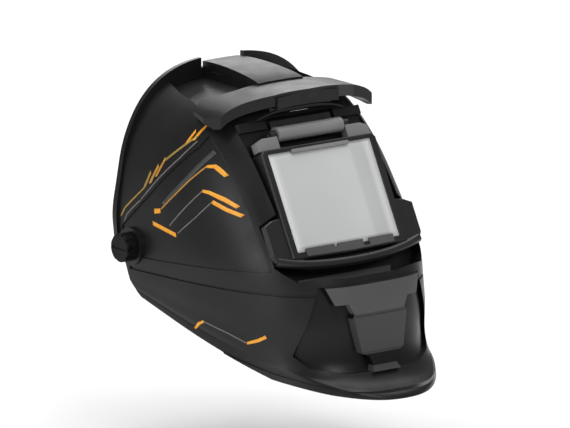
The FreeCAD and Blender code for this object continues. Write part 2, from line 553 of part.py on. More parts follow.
band = oval_ring(BAND_HALF, BAND_FRONT, BAND_T, BAND_END, BAND_LOW, BAND_HIGH)
for s in (1, -1):
    for y in (-70.0, -52.0):
        x = BAND_HALF * math.sqrt(1 - (y / BAND_FRONT) ** 2)
        slot = box(-12, 12, -2.5, 2.5, -4.0, 4.0)
        slot.rotate(V(0, 0, 0), V(0, 0, 1), s * math.degrees(math.atan2(-y * BAND_HALF, x * BAND_FRONT)) * -1)
        slot.translate(V(s * x, y, 0))
        band = band.cut(slot)
    band = band.cut(box(min(s * 70, s * 90), max(s * 70, s * 90), 14.0, 42.0, -2.0, 2.0))
for s in (1, -1):
    for z in (-8.0, 8.0):
        band = band.cut(cyl_x(1.6, min(s * 70, s * 90), max(s * 70, s * 90), 13.0, z))
add("headband", band)


LEG_TOP = 16.0


def arch_strap(y0, y1, half, top, t):
    """A strap over the head from side to side."""
    outer = Part.Ellipse(V(0, y0, 0), top - LEG_TOP + t, half + t)
    inner = Part.Ellipse(V(0, y0, 0), top - LEG_TOP, half)
    parts = []
    for e in (outer, inner):
        solid = Part.Face(Part.Wire(e.toShape())).extrude(V(0, 0, y1 - y0))
        solid.rotate(V(0, y0, 0), V(1, 0, 0), -90)
        parts.append(solid)
    ring = parts[0].cut(parts[1])
    ring.rotate(V(0, y0, 0), V(0, 1, 0), 90)
    ring = ring.common(box(-200, 200, y0 - 5, y1 + 5, 0, 200))
    ring.translate(V(0, 0, LEG_TOP))
    legs = [box(half, half + t, y0, y1, -8, LEG_TOP), box(-half - t, -half, y0, y1, -8, LEG_TOP)]
    return ring.fuse(legs).removeSplitter()


STRAP_IN = BAND_HALF + BAND_T
CROWN_Z = 102.0
front_strap = arch_strap(-26.0, -10.0, STRAP_IN, CROWN_Z, 1.6)
rear_strap = arch_strap(20.0, 36.0, STRAP_IN, CROWN_Z, 1.6)
add("front_crown_strap", front_strap)
add("rear_crown_strap", rear_strap)
link = box(-9.0, 9.0, -26.0, 36.0, CROWN_Z + 1.7, CROWN_Z + 3.1)
link = round_edges(link, 4.0, along(V(0, 0, 1)))
for y in (-3.0, 6.0, 15.0):
    link = link.cut(cyl_z(2.0, 90, 120, 0, y))
add("crown_link", link)
studs = []
for y in (-18.0, 28.0):
    studs.append(cyl_z(2.4, CROWN_Z + 3.1, CROWN_Z + 5.0, 0, y))
for s in (1, -1):
    for y in (-18.0, 28.0):
        x0, x1 = sorted((s * (STRAP_IN + 1.6), s * (STRAP_IN + 3.2)))
        studs.append(cyl_x(4.0, x0, x1, y, 6.0 if y < 0 else 9.0))
    x0, x1 = sorted((s * (STRAP_IN - 0.9), s * STRAP_IN))
    studs.append(cyl_x(2.0, x0, x1, -18.0, 6.0))
add("strap_studs", group(studs))

pad = oval_ring(BAND_HALF - 7.5, BAND_FRONT - 7.5, 7.0, 1.0, BAND_LOW - 2.0, BAND_HIGH + 2.0)
pad = pad.common(box(-66, 66, -200, -38, -40, 40))
add("sweatband", pad)

# side brackets, bolts, washers, tilt limiters and knobs, mirrored left and right
bolts, washers, limiters, rivets = [], [], [], []
for side, s in (("left", 1), ("right", -1)):
    def bar(r, x0, x1, y=0.0, z=0.0, s=s):
        return cyl_x(r, min(s * x0, s * x1), max(s * x0, s * x1), y, z)

    def block(x0, x1, y0, y1, z0, z1, s=s):
        return box(min(s * x0, s * x1), max(s * x0, s * x1), y0, y1, z0, z1)

    plate = block(BRACKET_IN, BRACKET_IN + 2.4, -7.5, 19.5, -13.0, 13.0)
    plate = round_edges(plate, 5.0, along(V(1, 0, 0)))
    tower = bar(12.0, BRACKET_IN + 2.4, LIMIT_IN)
    tower = tower.cut(bar(9.5, BRACKET_IN + 6.0, LIMIT_IN - 2.0))
    ribs = [block(BRACKET_IN + 5.0, LIMIT_IN - 1.0, -1.2, 1.2, -9.6, -3.9),
            block(BRACKET_IN + 5.0, LIMIT_IN - 1.0, -1.2, 1.2, 3.9, 9.6)]
    bracket = join([plate, tower, bar(5.6, BRACKET_IN + 2.4, LIMIT_IN)] + ribs)
    bracket = bracket.cut(bar(PIVOT_R, BRACKET_IN - 1, 120))
    for y in (13.0,):
        for z in (-8.0, 8.0):
            bracket = bracket.cut(bar(1.6, BRACKET_IN - 1, BRACKET_IN + 4, y, z))
            rivets.append(bar(1.6, BAND_HALF, BRACKET_IN + 2.4, y, z).fuse(
                bar(2.8, BRACKET_IN + 2.4, BRACKET_IN + 3.6, y, z)))
    add(side + "_side_bracket", bracket)
    bolts.append(bar(PIVOT_R, BRACKET_IN, KNOB_OUT - 3.0))
    washers.append(bar(9.4, LIMIT_OUT, BOSS_IN - 0.05).cut(bar(PIVOT_R, 90, 140)))
    wedge = [(0.0, 0.0)]
    for k in range(9):
        a = math.radians(-TILT_DOWN - 13.0 + k * (TILT_DOWN + TILT_UP + 26.0) / 8)
        wedge.append((-40.0 * math.sin(a), -40.0 * math.cos(a)))
    slot = bar(-PEG_Z + PEG_R + 0.4, 90, 120).cut(bar(-PEG_Z - PEG_R - 0.4, 80, 130)).common(
        prism_x(wedge, min(s * 90, s * 120), max(s * 90, s * 120)))
    limiters.append(bar(18.0, LIMIT_IN, LIMIT_OUT).cut(bar(PIVOT_R, 90, 140)).cut(slot))

    knob = bar(KNOB_R, BOSS_OUT + KNOB_GAP, KNOB_OUT)
    knob = round_edges(knob, 1.6, lambda e, s=s: abs(e.BoundBox.XMin - s * KNOB_OUT) < 1e-4
                       and abs(e.BoundBox.XMax - s * KNOB_OUT) < 1e-4)
    for k in range(10):
        a = k * math.pi / 5
        knob = knob.cut(bar(2.6, BOSS_OUT + 3.2, 140, 14.5 * math.cos(a), 14.5 * math.sin(a)))
    knob = knob.cut(bar(4.4, 100, KNOB_OUT - 2.4)).cut(bar(6.2, 100, BOSS_OUT + 7.0))
    knob = knob.cut(block(KNOB_OUT - 0.8, 140, -9.5, 9.5, -1.3, 1.3))
    add(side + "_pivot_knob", knob)
    insert = bar(6.2, BOSS_OUT + KNOB_GAP, BOSS_OUT + 7.0).cut(bar(PIVOT_BORE_R, 100, 140))
    add(side + "_knob_insert", insert)
add("pivot_bolts", group(bolts))
add("friction_washers", group(washers))
add("tilt_limiters", group(limiters))
add("bracket_rivets", group(rivets))

# rear strap: straight sides that run inside the headband, and a bow round the back of the head


def rear_bow(half, back, t, z0, z1):
    """Half of an oval band behind y = STRAP_BOW. half and back are to its outside."""
    outer = Part.Face(Part.Wire(Part.Ellipse(V(0, 0, z0), half, back).toShape()))
    inner = Part.Face(Part.Wire(Part.Ellipse(V(0, 0, z0), half - t, back - t).toShape()))
    ring = outer.extrude(V(0, 0, z1 - z0)).cut(inner.extrude(V(0, 0, z1 - z0)))
    ring.translate(V(0, STRAP_BOW, 0))
    return ring.common(box(-200, 200, STRAP_BOW, 200, z0 - 1, z1 + 1))


bow = rear_bow(STRAP_HALF, STRAP_BACK, STRAP_T, -12.0, 12.0)
legs = [box(STRAP_HALF - STRAP_T, STRAP_HALF, 8.0, STRAP_BOW, -12, 12),
        box(-STRAP_HALF, -STRAP_HALF + STRAP_T, 8.0, STRAP_BOW, -12, 12)]
add("rear_strap", bow.fuse(legs).removeSplitter())

nape = rear_bow(STRAP_HALF - STRAP_T - 0.5, STRAP_BACK - STRAP_T - 0.5, 7.0, -17.0, 17.0)
add("nape_pad", nape.common(box(-52, 52, 40, 200, -40, 40)))

HOUSE_BACK = 116.0
housing = box(-28.0, 28.0, 92.0, HOUSE_BACK - 2.0, -18.0, 18.0)
bow_full = Part.Face(Part.Wire(Part.Ellipse(V(0, 0, -30), STRAP_HALF + 0.1, STRAP_BACK + 0.1).toShape())).extrude(V(0, 0, 60))
bow_full.translate(V(0, STRAP_BOW, 0))
housing = round_edges(housing.cut(bow_full), 4.0, lambda e: along(V(0, 1, 0))(e))
housing = housing.cut(box(-23.0, 23.0, 104.0, 120.0, -13.0, 13.0))
add("ratchet_housing", housing)
cover = round_edges(box(-28.0, 28.0, HOUSE_BACK - 2.0, HOUSE_BACK, -18.0, 18.0), 4.0, along(V(0, 1, 0)))
cover = cover.cut(cyl_y(4.06, 90, 130))
holes = [(-23.5, -14.5), (23.5, -14.5), (-23.5, 14.5), (23.5, 14.5)]
for x, z in holes:
    cover = cover.cut(cyl_y(1.3, 90, 130, x, z))
add("ratchet_cover", cover)
add("cover_screws", group([cyl_y(1.3, HOUSE_BACK - 2.0, HOUSE_BACK, x, z).fuse(
    cyl_y(2.3, HOUSE_BACK, HOUSE_BACK + 1.0, x, z)) for x, z in holes]))
racks = []
for z in (1, -1):
    rack = box(-22.0, 22.0, 106.0, 110.0, min(z * 5.4, z * 8.4), max(z * 5.4, z * 8.4))
    racks.append(rack)
add("strap_racks", group(racks))

spindle = cyl_y(4.0, 104.3, HOUSE_BACK + 6.0)
gear = cyl_y(4.9, 105.6, 110.4)
for k in range(10):
    a = k * math.pi / 5
    gear = gear.cut(cyl_y(0.7, 100, 115, 5.0 * math.cos(a), 5.0 * math.sin(a)))
add("ratchet_spindle", spindle.fuse(gear))
wheel = cyl_y(21.0, HOUSE_BACK + 1.4, HOUSE_BACK + 14.0)
wheel = round_edges(wheel, 2.0, lambda e: abs(e.BoundBox.YMin - (HOUSE_BACK + 14.0)) < 1e-4)
for k in range(16):
    a = k * math.pi / 8
    wheel = wheel.cut(cyl_y(2.0, 100, 150, 22.0 * math.cos(a), 22.0 * math.sin(a)))
wheel = wheel.cut(cyl_y(4.05, 100, HOUSE_BACK + 6.05)).cut(
    cyl_y(14.0, HOUSE_BACK + 12.0, 150).cut(cyl_y(11.0, 100, 150)))
add("ratchet_knob", wheel)

if __name__ == "__main__":
    for name, shape in NODES.items():
        print(name, shape.isValid(), len(shape.Solids), round(shape.Volume), shape.BoundBox)
        shape.exportStep("parts/" + name + ".step")
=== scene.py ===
"""Looks of the welding helmet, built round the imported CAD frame.

Metres, +Z up, the wearer faces -Y. Lists that say "mm" are in millimetres."""
import math

import bmesh
import bpy
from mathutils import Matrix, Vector
from mathutils.bvhtree import BVHTree


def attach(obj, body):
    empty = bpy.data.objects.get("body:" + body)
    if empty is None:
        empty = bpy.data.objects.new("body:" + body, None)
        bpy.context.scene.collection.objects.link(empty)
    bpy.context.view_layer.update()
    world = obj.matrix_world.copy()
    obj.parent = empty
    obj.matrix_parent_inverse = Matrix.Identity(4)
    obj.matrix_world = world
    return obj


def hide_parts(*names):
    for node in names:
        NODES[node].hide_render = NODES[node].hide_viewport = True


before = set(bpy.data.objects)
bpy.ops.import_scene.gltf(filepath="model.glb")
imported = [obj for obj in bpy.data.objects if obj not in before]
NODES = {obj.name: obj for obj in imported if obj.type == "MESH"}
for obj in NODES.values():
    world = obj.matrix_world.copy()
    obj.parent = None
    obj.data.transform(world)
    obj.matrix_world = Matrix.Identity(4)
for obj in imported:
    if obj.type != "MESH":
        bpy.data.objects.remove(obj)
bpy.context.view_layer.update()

MM = 0.001

# ---------------------------------------------------------------- node helpers


def rgb(r, g, b):
    return (r, g, b, 1.0)


def grey(v):
    return (v, v, v, 1.0)


def new_material(name):
    mat = bpy.data.materials.new(name)
    mat.use_nodes = True
    return mat, mat.node_tree, mat.node_tree.nodes["Principled BSDF"]


def feed(tree, socket, value):
    """Links another socket to a socket, or sets it to a constant."""
    if isinstance(value, bpy.types.NodeSocket):
        tree.links.new(value, socket)
    else:
        socket.default_value = value


def object_place(tree):
    return tree.nodes.new("ShaderNodeTexCoord").outputs["Object"]


def object_xyz(tree):
    split = tree.nodes.new("ShaderNodeSeparateXYZ")
    feed(tree, split.inputs["Vector"], object_place(tree))
    return [split.outputs[axis] for axis in "XYZ"]


def noise(tree, scale, detail, rough=0.55):
    node = tree.nodes.new("ShaderNodeTexNoise")
    node.inputs["Scale"].default_value = scale
    node.inputs["Detail"].default_value = detail
    node.inputs["Roughness"].default_value = rough
    feed(tree, node.inputs["Vector"], object_place(tree))
    return node.outputs["Fac"]


def ramp(tree, source, stops):
    """The colour that a value picks between stops of (position, colour)."""
    node = tree.nodes.new("ShaderNodeValToRGB")
    feed(tree, node.inputs["Fac"], source)
    elements = node.color_ramp.elements
    elements[0].position, elements[0].color = stops[0]
    elements[1].position, elements[1].color = stops[-1]
    for position, colour in stops[1:-1]:
        elements.new(position).color = colour
    return node.outputs["Color"]


def vary(tree, socket, source, low, high, start=0.3, end=0.7):
    """Runs a socket from low to high as the source goes from start to end."""
    feed(tree, socket, ramp(tree, source, [(start, low), (end, high)]))


def fraction(tree, value, low, high):
    """How far a value lies from low to high, from 0 to 1."""
    span = tree.nodes.new("ShaderNodeMapRange")
    span.inputs["From Min"].default_value = low
    span.inputs["From Max"].default_value = high
    feed(tree, span.inputs["Value"], value)
    return span.outputs["Result"]


def maths(tree, operation, *values):
    """The result of a math node on sockets or plain numbers."""
    node = tree.nodes.new("ShaderNodeMath")
    node.operation = operation
    for socket, value in zip(node.inputs, values):
        feed(tree, socket, value)
    return node.outputs["Value"]


def all_of(tree, masks):
    whole = masks[0]
    for mask in masks[1:]:
        whole = maths(tree, "MULTIPLY", whole, mask)
    return whole


def add_bump(tree, bsdf, source, strength, distance):
    node = tree.nodes.new("ShaderNodeBump")
    node.inputs["Strength"].default_value = strength
    node.inputs["Distance"].default_value = distance
    feed(tree, node.inputs["Height"], source)
    feed(tree, bsdf.inputs["Normal"], node.outputs["Normal"])


def mix_base(mat, blend_type, factor, colour):
    """Mixes another colour into a material's base colour."""
    tree, base = mat.node_tree, mat.node_tree.nodes["Principled BSDF"].inputs["Base Color"]
    mix = tree.nodes.new("ShaderNodeMixRGB")
    mix.blend_type = blend_type
    feed(tree, mix.inputs["Fac"], factor)
    feed(tree, mix.inputs["Color1"], base.links[0].from_socket)
    feed(tree, mix.inputs["Color2"], colour)
    feed(tree, base, mix.outputs["Color"])


def paint(mat, mask, colour):
    """Gives the part of a material that a mask picks another colour."""
    mix_base(mat, "MIX", mask, colour)


# ---------------------------------------------------------------- kinds of material


def moulded(name, dark, light, rough_low, rough_high, grain=1.0, gloss_level=0.5):
    """Moulded plastic: fine eroded grain, slow changes of tone and a little unevenness of gloss."""
    mat, tree, bsdf = new_material(name)
    vary(tree, bsdf.inputs["Base Color"], noise(tree, scale=14.0, detail=3.0), dark, light,
         end=0.72)
    vary(tree, bsdf.inputs["Roughness"], noise(tree, scale=60.0, detail=5.0),
         grey(rough_low), grey(rough_high), end=0.75)
    add_bump(tree, bsdf, noise(tree, scale=1500.0, detail=2.0, rough=0.6),
             strength=0.22 * grain, distance=0.12 * MM)
    bsdf.inputs["Specular IOR Level"].default_value = gloss_level
    return mat


def metal(name, colour, rough, dark_side=0.82, rough_spread=0.12):
    """Metal with fine drawn lines, which change its tone and gloss."""
    mat, tree, bsdf = new_material(name)
    bsdf.inputs["Metallic"].default_value = 1.0
    stretch = tree.nodes.new("ShaderNodeMapping")
    stretch.inputs["Scale"].default_value = (40.0, 900.0, 900.0)
    feed(tree, stretch.inputs["Vector"], object_place(tree))
    lines = tree.nodes.new("ShaderNodeTexNoise")
    lines.inputs["Scale"].default_value = 1.0
    feed(tree, lines.inputs["Vector"], stretch.outputs["Vector"])
    dark = rgb(*(dark_side * c for c in colour[:3]))
    vary(tree, bsdf.inputs["Base Color"], lines.outputs["Fac"], dark, colour)
    vary(tree, bsdf.inputs["Roughness"], lines.outputs["Fac"],
         grey(rough), grey(rough + rough_spread))
    return mat


def pane(name, low, high, rough, transmission=0.0, haze=0.05):
    """A coated or clear pane, with a faint haze of handling."""
    mat, tree, bsdf = new_material(name)
    vary(tree, bsdf.inputs["Base Color"], noise(tree, scale=9.0, detail=2.0), low, high)
    vary(tree, bsdf.inputs["Roughness"], noise(tree, scale=35.0, detail=5.0),
         grey(rough), grey(rough + haze), start=0.35, end=0.75)
    bsdf.inputs["Transmission Weight"].default_value = transmission
    bsdf.inputs["IOR"].default_value = 1.5
    return mat


def fabric(name, dark, light, threads=900.0):
    """Woven cloth: two crossed bands of threads in its tone and its bump."""
    mat, tree, bsdf = new_material(name)
    bands = []
    for axis in ("X", "Z"):
        wave = tree.nodes.new("ShaderNodeTexWave")
        wave.bands_direction = axis
        wave.inputs["Scale"].default_value = threads
        wave.inputs["Distortion"].default_value = 1.2
        wave.inputs["Detail"].default_value = 1.0
        feed(tree, wave.inputs["Vector"], object_place(tree))
        bands.append(wave.outputs["Fac"])
    weave = maths(tree, "MULTIPLY", *bands)
    vary(tree, bsdf.inputs["Base Color"], weave, dark, light, start=0.1)
    add_bump(tree, bsdf, weave, strength=0.6, distance=0.3 * MM)
    bsdf.inputs["Roughness"].default_value = 0.92
    bsdf.inputs["Sheen Weight"].default_value = 0.35
    return mat


def film(name, low, high, rough):
    """Printed film: even colour, a faint mottle, and a little more gloss than the plastic."""
    mat, tree, bsdf = new_material(name)
    vary(tree, bsdf.inputs["Base Color"], noise(tree, scale=220.0, detail=3.0), low, high)
    add_bump(tree, bsdf, noise(tree, scale=900.0, detail=2.0), strength=0.1, distance=0.1 * MM)
    bsdf.inputs["Roughness"].default_value = rough
    return mat


# ---------------------------------------------------------------- the materials

SHELL = moulded("shell_black", rgb(0.0065, 0.0065, 0.007), rgb(0.0115, 0.0115, 0.012),
                0.30, 0.40, gloss_level=0.3)
FRAME = moulded("frame_black", rgb(0.011, 0.011, 0.012), rgb(0.017, 0.017, 0.018),
                0.30, 0.40, gloss_level=0.4)
KNOB = moulded("knob_black", rgb(0.005, 0.005, 0.0052), rgb(0.008, 0.008, 0.0083),
               0.36, 0.48, gloss_level=0.12)
BARREL = moulded("barrel_grey", rgb(0.17, 0.17, 0.173), rgb(0.23, 0.23, 0.233), 0.36, 0.46)
STRIP = moulded("barrel_grey_strip", rgb(0.062, 0.062, 0.064), rgb(0.09, 0.09, 0.092), 0.34, 0.44)
STRAP = moulded("strap_black", rgb(0.016, 0.016, 0.017), rgb(0.026, 0.026, 0.027), 0.45, 0.6)
DIAL = moulded("dial_grey", rgb(0.16, 0.16, 0.165), rgb(0.22, 0.22, 0.225), 0.4, 0.5)
BUTTON = moulded("button_red", rgb(0.42, 0.03, 0.02), rgb(0.55, 0.04, 0.03), 0.35, 0.45)
NYLON = moulded("nylon_white", rgb(0.58, 0.57, 0.53), rgb(0.7, 0.69, 0.66), 0.4, 0.5)
BOARD = moulded("board_green", rgb(0.015, 0.12, 0.05), rgb(0.03, 0.18, 0.08), 0.25, 0.35,
                grain=0.4)
RUBBER = moulded("rubber_black", rgb(0.012, 0.012, 0.012), rgb(0.02, 0.02, 0.02), 0.6, 0.75)

STEEL = metal("steel", rgb(0.55, 0.56, 0.58), 0.28)
DARK_STEEL = metal("steel_blackened", rgb(0.06, 0.06, 0.065), 0.4)
BRASS = metal("brass", rgb(0.78, 0.58, 0.26), 0.25)

LENS = pane("lens_silver", rgb(0.60, 0.605, 0.61), rgb(0.68, 0.685, 0.69), 0.10)
LENS.node_tree.nodes["Principled BSDF"].inputs["Coat Weight"].default_value = 1.0
LENS.node_tree.nodes["Principled BSDF"].inputs["Coat Roughness"].default_value = 0.04
CLEAR = pane("clear_pane", rgb(0.86, 0.9, 0.89), rgb(0.92, 0.95, 0.94), 0.03, transmission=0.95)
FILTER = pane("filter_green", rgb(0.02, 0.06, 0.03), rgb(0.03, 0.09, 0.05), 0.06,
              transmission=0.35)
SOLAR = pane("solar_dark", rgb(0.008, 0.008, 0.03), rgb(0.015, 0.015, 0.05), 0.12)

FOAM = fabric("foam_grey", rgb(0.045, 0.045, 0.05), rgb(0.10, 0.10, 0.11))

ORANGE = film("film_orange", rgb(0.86, 0.33, 0.012), rgb(0.95, 0.42, 0.025), 0.34)
AMBER = film("film_amber", rgb(0.46, 0.20, 0.02), rgb(0.55, 0.26, 0.03), 0.36)
FAINT = film("film_faint", rgb(0.034, 0.038, 0.036), rgb(0.044, 0.048, 0.045), 0.4)
OLIVE = film("film_olive", rgb(0.30, 0.19, 0.03), rgb(0.37, 0.25, 0.045), 0.36)
GREY_LINE = film("film_grey", rgb(0.13, 0.115, 0.105), rgb(0.17, 0.15, 0.14), 0.38)

# ---------------------------------------------------------------- tones by place on the object

# the lens's painted light and shade, as (part of the way across, painted tone): bright borders of
# painted highlight and a darker upright band of painted shade
LENS_HALF_WIDTH = 0.058
LENS_PAINTED_SHADING = [(0.0, 1.0), (0.035, 1.0), (0.09, 0.85), (0.3, 0.87), (0.76, 0.87), (0.80, 0.76),
             (0.90, 0.74), (0.935, 0.92), (1.0, 1.0)]
tree = LENS.node_tree
across = fraction(tree, object_xyz(tree)[0], -LENS_HALF_WIDTH, LENS_HALF_WIDTH)
painted_shading = ramp(tree, across, [(stop, grey(level)) for stop, level in LENS_PAINTED_SHADING])
mix_base(LENS, "MULTIPLY", 1.0, painted_shading)

# the middle of the front's hinge, as y and z, and the window's lean from upright
HINGE_Y, HINGE_Z = -0.1044, 0.1085
LEAN = math.radians(28.1)


def front_place(tree):
    """Distance to the side, up along the leaning window and out of it, from the front's hinge."""
    x, y, z = object_xyz(tree)
    dy = maths(tree, "SUBTRACT", y, HINGE_Y)
    dz = maths(tree, "SUBTRACT", z, HINGE_Z)
    sin, cos = math.sin(LEAN), math.cos(LEAN)
    up = maths(tree, "ADD", maths(tree, "MULTIPLY", dy, sin), maths(tree, "MULTIPLY", dz, cos))
    out = maths(tree, "SUBTRACT", maths(tree, "MULTIPLY", dz, sin),
                maths(tree, "MULTIPLY", dy, cos))
    return maths(tree, "ABSOLUTE", x), up, out


# the hinge lugs are in the barrel's grey, and the bracket's foot behind the barrel gets painted
# shade, near black
LUG_INNER, LUG_LOW, LUG_HIGH = 0.0381, -0.01415, -0.0021
PAINTED_SHADE_FRONT = -0.0045
tree = FRAME.node_tree
beside, up, _ = front_place(tree)
paint(FRAME, all_of(tree, [maths(tree, "GREATER_THAN", beside, LUG_INNER),
                           maths(tree, "GREATER_THAN", up, LUG_LOW),
                           maths(tree, "LESS_THAN", up, LUG_HIGH)]), rgb(0.20, 0.20, 0.203))
# painted shade, near black, on the bracket's foot and all else behind the barrel's front
tree = BARREL.node_tree
_, _, out = front_place(tree)
paint(BARREL, maths(tree, "LESS_THAN", out, PAINTED_SHADE_FRONT), grey(0.012))

# the chin's outlines are lists of (height, half width), from below up: its recess gets painted
# shade, blacker than the shell, and its centre plate, the shelf over that and the tab under it get
# painted light, greyer
RECESS = [(-0.0885, 0.040), (-0.084, 0.066), (-0.074, 0.075), (-0.031, 0.062), (-0.0125, 0.0565)]
PLATE = [(-0.074, 0.0225), (-0.0725, 0.0235), (-0.041, 0.0305), (-0.0375, 0.0282)]
SHELF = [(-0.0375, 0.0282), (-0.0282, 0.033), (-0.028, 0.046), (-0.0125, 0.0525)]
TAB = [(-0.0905, 0.016), (-0.084, 0.013)]
CHIN_BACK = -0.15
WIDEST = 0.08


def outline_mask(tree, stops):
    """Picks what lies between an outline's two mirrored halves, on the front of the chin."""
    x, y, z = object_xyz(tree)
    low, high = stops[0][0], stops[-1][0]
    half = ramp(tree, fraction(tree, z, low, high),
                [((h - low) / (high - low), grey(w / WIDEST)) for h, w in stops])
    width = maths(tree, "MULTIPLY", half, WIDEST)
    return all_of(tree, [maths(tree, "LESS_THAN", maths(tree, "ABSOLUTE", x), width),
                         maths(tree, "GREATER_THAN", z, low), maths(tree, "LESS_THAN", z, high),
                         maths(tree, "LESS_THAN", y, CHIN_BACK)])


# painted shade in the chin's recess and painted light on its plate, shelf and tab
for outline, tone in ((RECESS, 0.0035), (PLATE, 0.055), (SHELF, 0.085), (TAB, 0.05)):
    paint(SHELL, outline_mask(SHELL.node_tree, outline), rgb(tone, tone, 1.03 * tone))

# ---------------------------------------------------------------- finishes of the CAD nodes

BY_NODE = {
    SHELL: ["shell"],
    FRAME: ["flip_frame", "filter_housing", "battery_doors"],
    BARREL: ["hinge_bracket", "frame_top_strip"],
    STRIP: ["frame_bottom_strip"],
    STRAP: ["headband", "front_crown_strap", "rear_crown_strap", "crown_link",
            "left_side_bracket", "right_side_bracket", "rear_strap", "ratchet_housing",
            "ratchet_cover", "ratchet_knob", "cartridge_retainer"],
    KNOB: ["left_pivot_knob", "right_pivot_knob"],
    DIAL: ["strap_studs", "tilt_limiters", "sensitivity_dial", "delay_dial"],
    BUTTON: ["test_button"],
    NYLON: ["friction_washers", "strap_racks"],
    BOARD: ["circuit_board", "battery_board"],
    RUBBER: ["window_gasket", "lens_seal"],
    DARK_STEEL: ["hinge_screws"],
    STEEL: ["hinge_pin", "window_clips", "pivot_bolts", "bracket_rivets", "cover_screws",
            "ratchet_spindle", "batteries"],
    BRASS: ["left_knob_insert", "right_knob_insert"],
    LENS: ["cover_lens"],
    CLEAR: ["grinding_window", "inner_cover_lens"],
    FILTER: ["filter_glass"],
    SOLAR: ["solar_cell", "light_sensors"],
    FOAM: ["sweatband", "nape_pad"],
}
for material, names in BY_NODE.items():
    for node_name in names:
        slots = NODES[node_name].data.materials
        slots.clear()
        slots.append(material)

# A small round on the few sharp edges of the shell that its loaded mesh doesn't split. It changes
# little to look at, and it leaves open edges in the rounded shell, whose own mesh is closed.
bevel = NODES["shell"].modifiers.new("round", "BEVEL")
bevel.width = 0.5 * MM
bevel.segments = 2
bevel.limit_method = "ANGLE"
bevel.angle_limit = math.radians(35)
bevel.harden_normals = False

# ---------------------------------------------------------------- making of new pieces


def smooth_mesh(name, bm):
    """The finished mesh of a closed form, which is freed."""
    bmesh.ops.recalc_face_normals(bm, faces=bm.faces)
    for face in bm.faces:
        face.smooth = True
    mesh = bpy.data.meshes.new(name)
    bm.to_mesh(mesh)
    bm.free()
    return mesh


def add_object(name, data, material):
    obj = bpy.data.objects.new(name, data)
    bpy.context.scene.collection.objects.link(obj)
    data.materials.append(material)
    return obj


# ---------------------------------------------------------------- decoration on the sides

SHELL_BVH = BVHTree.FromObject(NODES["shell"], bpy.context.evaluated_depsgraph_get())
RAY_START = 0.3     # metres to the side, well clear of the shell
# a film strip, in mm: the length of its steps, its clearance, thickness and depth into the shell
STEP, LIFT, THICK, SUNK = 2.5, 0.15, 0.25, 0.3
THIN_EDGE = 0.4     # part of the thickness that its long edges keep
CELLS = 4           # faces across a strip
SKEWED_RINGS = 2.0  # steps over which a skewed end fades into the strip
BESIDE = 0.115      # where a strip goes if it runs past the shell


def on_side(y, z, side):
    """The shell's outside at a side-view point: place and outward normal."""
    hit, normal, _, _ = SHELL_BVH.ray_cast(Vector((side * RAY_START, y, z)), Vector((-side, 0, 0)))
    if hit is None:
        return Vector((side * BESIDE, y, z)), Vector((side, 0, 0))
    if normal.x * side < 0:
        normal = -normal
    return hit, normal


def resample(points, step):
    out = [Vector(points[0])]
    for a, b in zip(points, points[1:]):
        a, b = Vector(a), Vector(b)
        count = max(1, round((b - a).length / step))
        out += [a.lerp(b, k / count) for k in range(1, count + 1)]
    return out


def width_at(widths, s):
    """The width s of the way along: of two widths, or of three with the middle one halfway."""
    if len(widths) == 2:
        return widths[0] + (widths[1] - widths[0]) * s
    return widths[0] + (widths[1] - widths[0]) * min(1.0, 2 * s) + \
        (widths[2] - widths[1]) * max(0.0, 2 * s - 1)


def stripe(name, points, widths, side, material, ends):
    """A thin film strip along a side-view line in mm. ends skews its two ends along the line."""
    line = resample(points, STEP)
    total = len(line) - 1
    bm = bmesh.new()
    rings = []
    for i, p in enumerate(line):
        a, b = line[max(i - 1, 0)], line[min(i + 1, total)]
        t = (b - a).normalized()
        across = Vector((-t.y, t.x))
        width = width_at(widths, i / total)
        skew = ends[0] * max(0.0, 1 - i / SKEWED_RINGS) - \
            ends[1] * max(0.0, 1 - (total - i) / SKEWED_RINGS)
        ring = []
        for k in range(CELLS + 1):
            spread = k / CELLS - 0.5
            spot = p + across * (spread * width) + t * skew * spread
            hit, normal = on_side(spot.x * MM, spot.y * MM, side)
            top = LIFT + THICK * (1.0 if 0 < k < CELLS else THIN_EDGE)
            ring.append((bm.verts.new(hit + normal * top * MM),
                         bm.verts.new(hit - normal * SUNK * MM)))
        rings.append(ring)
    for r, s in zip(rings, rings[1:]):
        for k in range(CELLS):
            bm.faces.new((r[k][0], r[k + 1][0], s[k + 1][0], s[k][0]))
            bm.faces.new((r[k + 1][1], r[k][1], s[k][1], s[k + 1][1]))
        bm.faces.new((r[0][0], s[0][0], s[0][1], r[0][1]))
        bm.faces.new((r[-1][1], s[-1][1], s[-1][0], r[-1][0]))
    for r in (rings[0], rings[-1]):
        for k in range(CELLS):
            bm.faces.new((r[k][0], r[k][1], r[k + 1][1], r[k + 1][0]))
    obj = add_object(name, smooth_mesh(name, bm), material)
    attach(obj, "shell_body")


